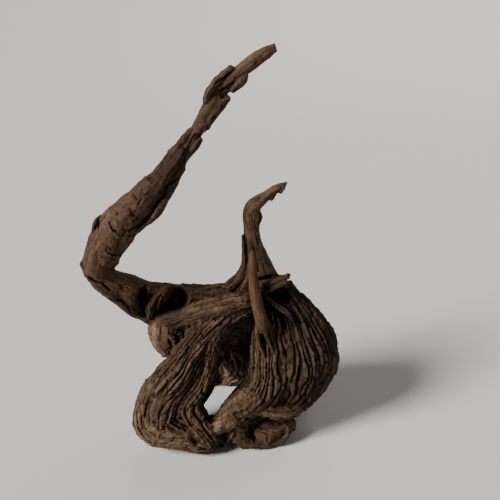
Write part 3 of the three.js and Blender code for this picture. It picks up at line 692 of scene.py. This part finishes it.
def find_skin():
    """The wood on a grid: signed distance, the node of each inside point, the low corner, a coarse grid."""
    low = np.min([limb.low for limb in limbs], 0)
    high = np.max([limb.high for limb in limbs], 0)
    low[2] = -3 * VOXEL
    size = np.ceil((high - low) / (VOXEL * COARSE)).astype(int) + 1
    index = np.indices(size).reshape(3, -1).T
    rough = in_chunks(lambda p: skin_of(p, relief=False)[0], grid_points(low, VOXEL * COARSE, index))
    rough = rough.reshape(size)
    fine_size = (size - 1) * COARSE
    distance = np.full(fine_size, FAR, np.float32)
    node = np.zeros(fine_size, np.int8)
    # a coarse cell matters where any of its corners is inside or near the skin
    cells = np.argwhere(np.min(corners(rough), 0) < MARGIN)
    inner = np.indices((COARSE,) * 3).reshape(3, -1).T
    fine = (cells[:, None, :] * COARSE + inner[None, :, :]).reshape(-1, 3)
    points = grid_points(low, VOXEL, fine)
    value = np.maximum(in_chunks(lambda p: skin_of(p)[0], points), -points[:, 2])
    owner = in_chunks(lambda p: skin_of(p, relief=False)[1], points)
    at = tuple(fine.T)
    distance[at] = value
    node[at] = np.where(value < 0, owner, 0)
    return distance, node, low, rough


def net_points(distance, node, low):
    """A point in every grid cell that the skin or a border between nodes passes through.

    With them go which points are on the skin, and the number of each cell's point.
    """
    cells = np.argwhere(np.min(corners(node), 0) != np.max(corners(node), 0))
    number = np.full(np.array(node.shape) - 1, -1, np.int32)
    number[tuple(cells.T)] = np.arange(len(cells))
    total = np.zeros((2, len(cells), 3), np.float32)
    count = np.zeros((2, len(cells)), np.float32)
    for axis in range(3):
        for corner in np.ndindex(2, 2, 2):
            if corner[axis]:
                continue
            start = cells + np.array(corner)
            end = start.copy()
            end[:, axis] += 1
            start_at, end_at = tuple(start.T), tuple(end.T)
            a, b = distance[start_at], distance[end_at]
            na, nb = node[start_at], node[end_at]
            skin = (na == 0) != (nb == 0)
            border = (na != nb) & ~skin
            place = start.astype(np.float32)
            place[:, axis] += np.where(skin, a / np.where(skin, a - b, 1), 0.5)
            for kind, crossed in enumerate((skin, border)):
                total[kind][crossed] += place[crossed]
                count[kind][crossed] += 1
    on_skin = count[0] > 0
    total = np.where(on_skin[:, None], *total)
    count = np.where(on_skin, *count)
    points = low + VOXEL * total / np.maximum(count, 1)[:, None]
    return points.astype(np.float32), on_skin, number


def net_faces(node, number):
    """For each node the faces of its closed net, and which of them lie on the border with another node."""
    size = np.array(node.shape)
    faces = {}
    for axis in range(3):
        sides = [(axis + 1) % 3, (axis + 2) % 3]
        ahead = [slice(None)] * 3
        behind = [slice(None)] * 3
        ahead[axis], behind[axis] = slice(1, None), slice(None, -1)
        first, second = node[tuple(behind)], node[tuple(ahead)]
        edges = np.argwhere(first != second)
        edges = edges[((edges[:, sides] > 0) & (edges[:, sides] < size[sides] - 1)).all(1)]
        quad = []
        for shift in ((-1, -1), (0, -1), (0, 0), (-1, 0)):
            cell = edges.copy()
            cell[:, sides] += shift
            quad.append(number[tuple(cell.T)])
        quad = np.stack(quad, 1)
        na, nb = first[tuple(edges.T)], second[tuple(edges.T)]
        for k in range(1, len(NODES) + 1):
            faces.setdefault(k, []).append((quad[na == k], nb[na == k] > 0))
            faces[k].append((quad[nb == k][:, ::-1], na[nb == k] > 0))
    return {k: [np.concatenate(column) for column in zip(*parts)] for k, parts in faces.items()}


def settle(points, on_skin):
    """Moves the skin's points onto the wood's true surface."""
    loose = np.nonzero(on_skin)[0]
    probe = 0.12
    least_slope = 0.3
    furthest = 0.5 * VOXEL

    def distance(p):
        return np.maximum(skin_of(p)[0], -p[:, 2])

    def correct(p):
        here = distance(p)
        slope = np.stack([distance(p + probe * axis) - distance(p - probe * axis)
                          for axis in np.eye(3, dtype=np.float32)], 1) / (2 * probe)
        move = -slope * (here / np.maximum(dot(slope, slope), least_slope))[:, None]
        size = np.sqrt(dot(move, move))
        return p + move * np.minimum(1, furthest / np.maximum(size, 1e-6))[:, None]

    for _ in range(2):
        points[loose] = in_chunks(correct, points[loose])
    points[:, 2] = np.maximum(points[:, 2], 0)
    return points


def openness(p, normal, reach):
    """How open the space in front of the skin is, from 0 to 1, read off the coarse grid."""
    q = (p + normal * reach - grid_low) / (VOXEL * COARSE)
    q = np.clip(q, 0, np.array(rough_grid.shape) - 1.001)
    i = q.astype(int)
    t = q - i
    total = 0
    for corner in np.ndindex(2, 2, 2):
        weight = np.prod([t[:, a] if corner[a] else 1 - t[:, a] for a in range(3)], 0)
        total = total + weight * rough_grid[tuple((i + np.array(corner)).T)]
    return np.clip(total / reach, 0, 1)


def add_object(name, data):
    thing = bpy.data.objects.new(name, data)
    bpy.context.scene.collection.objects.link(thing)
    return thing


def add_mesh(name, verts, quads, wall, extra):
    """A piece of the net, with what the material needs to know at each point."""
    mesh = bpy.data.meshes.new(name)
    mesh.vertices.add(len(verts))
    mesh.vertices.foreach_set("co", ((verts + ORIGIN) * MM).ravel())
    mesh.loops.add(len(quads) * 4)
    mesh.loops.foreach_set("vertex_index", quads.ravel())
    mesh.polygons.add(len(quads))
    mesh.polygons.foreach_set("loop_start", np.arange(len(quads)) * 4)
    mesh.polygons.foreach_set("use_smooth", ~wall)
    mesh.update()
    mesh.validate()
    normal = np.zeros(len(verts) * 3, np.float32)
    mesh.vertices.foreach_get("normal", normal)
    normal = normal.reshape(-1, 3)
    grain = mesh.attributes.new("grain", "FLOAT_VECTOR", "POINT")
    grain.data.foreach_set("vector", extra[:, GRAIN].ravel())
    # near and far: how open the space in front of the skin is, which the material turns into painted shade in
    # gaps and hollows.
    values_of = dict(furrow=extra[:, FURROW], tone=extra[:, TONE], high=extra[:, HIGH],
                     near=openness(verts, normal, NEAR_REACH), far=openness(verts, normal, FAR_REACH),
                     **dict(zip(TINTS_AND_PAINTED_LIGHT, extra[:, FIRST_TINT:].T)))
    for label, values in values_of.items():
        layer = mesh.attributes.new(label, "FLOAT", "POINT")
        layer.data.foreach_set("value", values.astype(np.float32))
    return add_object(name, mesh)


def rgb(*values):
    """A colour from its screen values, 0 to 255."""
    return tuple((value / 255) ** 2.2 for value in values) + (1,)


def new_material(name):
    material = bpy.data.materials.new(name)
    material.use_nodes = True
    return material, material.node_tree.nodes["Principled BSDF"]


# The crest colour is a painted highlight. Deep is near black, for specks, dirt in furrows and painted shade.
TONES = {
    "dark": rgb(50, 33, 22),
    "middle": rgb(65, 50, 41),
    "light": rgb(96, 79, 68),
    "warm dark": rgb(57, 39, 27),
    "warm light": rgb(99, 77, 62),
    "red": rgb(74, 41, 28),
    "pale": rgb(158, 130, 108),
    "crest_highlight": rgb(114, 95, 82),
    "mottle": rgb(52, 37, 30),
    "deep": rgb(17, 8, 5),
}


def wood_material(name):
    """Dry furrowed wood: fibres along the grain, strands of slightly different tone, furrows darkened partly
    as dirt and partly as painted shade, painted shade in hollows and gaps, and painted highlights on crests.
    """
    material, shader = new_material(name)
    nodes, links = material.node_tree.nodes, material.node_tree.links
    shader.inputs["Specular IOR Level"].default_value = 0.24
    shader.inputs["Specular Tint"].default_value = (1.0, 0.76, 0.56, 1)

    def feed(socket, value):
        """Links an output to a socket, or sets the socket to a number or to a tone by its name."""
        if isinstance(value, bpy.types.NodeSocket):
            links.new(value, socket)
        else:
            socket.default_value = TONES[value] if isinstance(value, str) else value

    def add(kind, **values):
        node = nodes.new(kind)
        for key, value in values.items():
            if key in node.inputs:
                node.inputs[key].default_value = value
            else:
                setattr(node, key, value)
        return node

    def attribute(label, output="Fac"):
        return add("ShaderNodeAttribute", attribute_name=label).outputs[output]

    def fibre(stretch, scale, detail, rough=0.6):
        """Noise that is drawn out along the grain."""
        mapping = add("ShaderNodeMapping", Scale=(1, 1, stretch))
        links.new(attribute("grain", "Vector"), mapping.inputs["Vector"])
        texture = add("ShaderNodeTexNoise", Scale=scale, Detail=detail, Roughness=rough)
        links.new(mapping.outputs[0], texture.inputs["Vector"])
        return texture.outputs["Fac"]

    def ramp(source, low, high, to_low=0, to_high=1):
        node = add("ShaderNodeMapRange")
        links.new(source, node.inputs["Value"])
        for key, value in zip(("From Min", "From Max", "To Min", "To Max"), (low, high, to_low, to_high)):
            node.inputs[key].default_value = value
        return node.outputs[0]

    def mix(factor, a, b):
        node = add("ShaderNodeMix", data_type="RGBA")
        for socket, value in ((0, factor), (6, a), (7, b)):
            feed(node.inputs[socket], value)
        return node.outputs[2]

    def calc(operation, a, b):
        node = add("ShaderNodeMath", operation=operation)
        feed(node.inputs[0], a)
        feed(node.inputs[1], b)
        return node.outputs[0]

    streak = fibre(0.1, 0.9, 6, 0.7)
    blotch = fibre(0.5, 0.16, 3)
    speck = fibre(0.4, 1.9, 2)
    mottle = fibre(0.6, 0.42, 4, 0.7)
    fine = fibre(0.12, 3.6, 4, 0.7)
    colour = mix(ramp(streak, 0.34, 0.68), "dark", "light")
    layers = [  # what covers the fibres, from the lowest up: its share, its colour
        (ramp(blotch, 0.35, 0.65, 0, 0.5), "middle"),
        (attribute("warm"), mix(ramp(streak, 0.3, 0.7), "warm dark", "warm light")),
        (calc("MULTIPLY", attribute("red"), 0.6), "red"),
        (attribute("pale"), mix(ramp(streak, 0.35, 0.65), "dark", "pale")),
        (ramp(attribute("tone"), 0, 1, 0, 0.4), "dark"),
        # painted highlight on the crests of the strands
        (calc("MULTIPLY", ramp(attribute("high"), 0, 0.9), 0.45), "crest_highlight"),
        # darkening: partly darker wood, partly painted shade
        (calc("MULTIPLY", attribute("dim"), 0.5), "deep"),
        (ramp(speck, 0.52, 0.7, 0, 0.35), "deep"),
        (ramp(mottle, 0.48, 0.66, 0, 0.5), "mottle"),
        # dark furrows, cracks and gouges: partly dirt, partly painted shade
        (ramp(attribute("furrow"), 0.12, 0.8, 0, 0.94), "deep"),
        # painted shade where the space in front of the skin is closed, in narrow and in wide gaps
        (ramp(attribute("near"), 0, 0.8, 0.85, 0), "deep"),
        (ramp(attribute("far"), 0, 0.7, 0.5, 0), "deep"),
    ]
    for share, cover in layers:
        colour = mix(share, colour, cover)
    links.new(colour, shader.inputs["Base Color"])
    links.new(ramp(streak, 0.3, 0.7, 0.92, 0.72), shader.inputs["Roughness"])
    height = calc("ADD", calc("MULTIPLY", streak, 0.6), calc("MULTIPLY", fine, 0.4))
    bump = add("ShaderNodeBump", Strength=1.0, Distance=0.9 * MM)
    links.new(height, bump.inputs["Height"])
    links.new(bump.outputs[0], shader.inputs["Normal"])
    return material


distance_grid, node_grid, grid_low, rough_grid = find_skin()
points, on_skin, cell_numbers = net_points(distance_grid, node_grid, grid_low)
faces = net_faces(node_grid, cell_numbers)
points = settle(points, on_skin)
details = in_chunks(lambda p: skin_of(p, details=True)[2], points)
materials = {name: wood_material(name) for name in ("dark_wood", "brown_wood", "tan_root")}
SLOTS = {"long_branch": "brown_wood", "horn": "brown_wood", "front_root": "tan_root"}

for number, node in enumerate(NODES, start=1):
    quads, wall = faces[number]
    used, quads = np.unique(quads, return_inverse=True)
    quads = quads.reshape(-1, 4)
    piece = add_mesh("wood_" + node, points[used], quads, wall, details[used])
    slot = SLOTS.get(node, "dark_wood")
    piece.data.materials.append(materials[slot])
    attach(piece, "root")
    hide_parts(node)
    print("piece", node, "triangles", 2 * len(quads))


def floor_material():
    material, shader = new_material("floor")
    shader.inputs["Base Color"].default_value = (0.5, 0.49, 0.48, 1)
    shader.inputs["Roughness"].default_value = 0.8
    return material


def add_floor():
    """A pale floor, flat round the wood, that bends up gently and then rises evenly. Sizes are in metres."""
    flat_radius, bend_radius, rise, slope_length = 1.0, 7.0, math.radians(16), 7.0
    sides, bend_points = 96, 25
    profile = [(flat_radius + bend_radius * math.sin(a), bend_radius * (1 - math.cos(a)))
               for a in np.linspace(0, rise, bend_points)]
    edge, height = profile[-1]
    profile.append((edge + slope_length, height + slope_length * math.tan(rise)))
    turns = [2 * math.pi * i / sides for i in range(sides)]
    verts = [(radius * math.cos(a), radius * math.sin(a), z) for radius, z in profile for a in turns]
    rings = [tuple(range(sides))]
    for ring in range(len(profile) - 1):
        for i in range(sides):
            j = (i + 1) % sides
            rings.append(tuple((ring + up) * sides + k for up, k in ((0, j), (0, i), (1, i), (1, j))))
    mesh = bpy.data.meshes.new("floor")
    mesh.from_pydata(verts, [], rings)
    mesh.polygons.foreach_set("use_smooth", [True] * len(rings))
    mesh.materials.append(floor_material())
    add_object("floor", mesh)


def add_light(name, place, angle, strength, colour):
    """A broad far light, that shines from a place towards the wood."""
    lamp = bpy.data.lights.new(name, "SUN")
    lamp.angle = math.radians(angle)
    lamp.energy = strength
    lamp.color = colour
    light = add_object(name, lamp)
    light.location = place
    aim = Vector((0, 0, 0.07)) - Vector(place)
    light.rotation_euler = aim.to_track_quat("-Z", "Y").to_euler()


def add_world():
    """Faint warm light from all round."""
    world = bpy.data.worlds.new("world")
    world.use_nodes = True
    background = world.node_tree.nodes["Background"]
    background.inputs["Color"].default_value = (1.0, 0.94, 0.88, 1)
    background.inputs["Strength"].default_value = 0.1
    bpy.context.scene.world = world


def add_camera():
    """The photograph's view: a little above the wood, looking down on it."""
    tilt_down = 18.8
    data = bpy.data.cameras.new("camera")
    data.sensor_width = 36.0
    data.lens = 39.6
    data.clip_start = 0.01
    camera = add_object("camera", data)
    camera.location = (0.014, -0.2122, 0.150)
    camera.rotation_euler = (math.radians(90 - tilt_down), 0, 0)
    bpy.context.scene.camera = camera


add_floor()
add_world()
add_light("key", (-0.78, -0.4, 0.6), 20, 8.2, (1.0, 0.98, 0.95))
add_light("fill", (0.4, 0.8, 0.5), 70, 1.6, (1.0, 0.96, 0.92))
add_camera()
